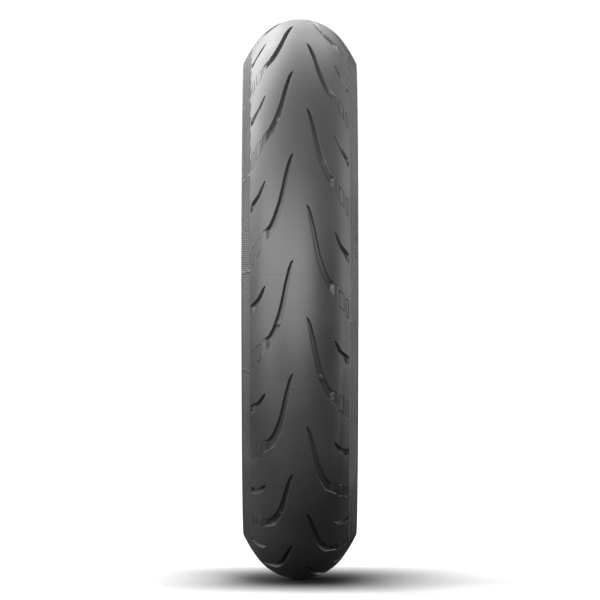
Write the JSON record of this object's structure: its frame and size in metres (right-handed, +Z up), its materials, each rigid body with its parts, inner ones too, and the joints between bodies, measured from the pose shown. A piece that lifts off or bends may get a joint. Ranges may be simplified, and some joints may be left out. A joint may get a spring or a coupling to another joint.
{
  "type": "motorcycle tire",
  "caption": "Front sport motorcycle tire with slanted long and short grooves, built as tread, belts, plies, liner, sidewalls and beads.",
  "frame": {"origin": "centre of the tire: on the wheel axle, midway between the two sidewalls", "axes": "+Y along the wheel axle towards the right side as seen from the front, +Z up, +X towards the front, where the tread faces the viewer; the grooves' pointed ends are up at the front"},
  "size_m": [0.599, 0.1208, 0.599],
  "materials": {
    "tread_centre_rubber": "satin moulded black tread rubber",
    "tread_shoulder_rubber": "satin moulded black tread rubber",
    "base_rubber": "dull black rubber",
    "belt_cord": "rubber coated cord, ribbed along the cords",
    "ply_cord": "rubber coated textile cord",
    "liner_rubber": "smooth semi-gloss black rubber",
    "sidewall_rubber": "satin moulded black rubber with fine rings",
    "chafer_rubber": "hard smooth black rubber",
    "filler_rubber": "hard dull black rubber",
    "bead_fabric": "woven wrap",
    "bead_wire": "bronze coated steel wire bundle"
  },
  "bodies": {
    "root": {"tread_centre": "tread_centre_rubber", "tread_shoulder_left": "tread_shoulder_rubber", "tread_shoulder_right": "tread_shoulder_rubber", "tread_base": "base_rubber", "belt_outer": "belt_cord", "belt_inner": "belt_cord", "belt_edge_cushion_left": "base_rubber", "belt_edge_cushion_right": "base_rubber", "carcass_ply_outer": "ply_cord", "carcass_ply_inner": "ply_cord", "inner_liner": "liner_rubber", "sidewall_left": "sidewall_rubber", "sidewall_right": "sidewall_rubber", "chafer_left": "chafer_rubber", "chafer_right": "chafer_rubber", "bead_filler_left": "filler_rubber", "bead_filler_right": "filler_rubber", "bead_wrap_left": "bead_fabric", "bead_wrap_right": "bead_fabric", "bead_core_left": "bead_wire", "bead_core_right": "bead_wire"}
  },
  "joints": []
}
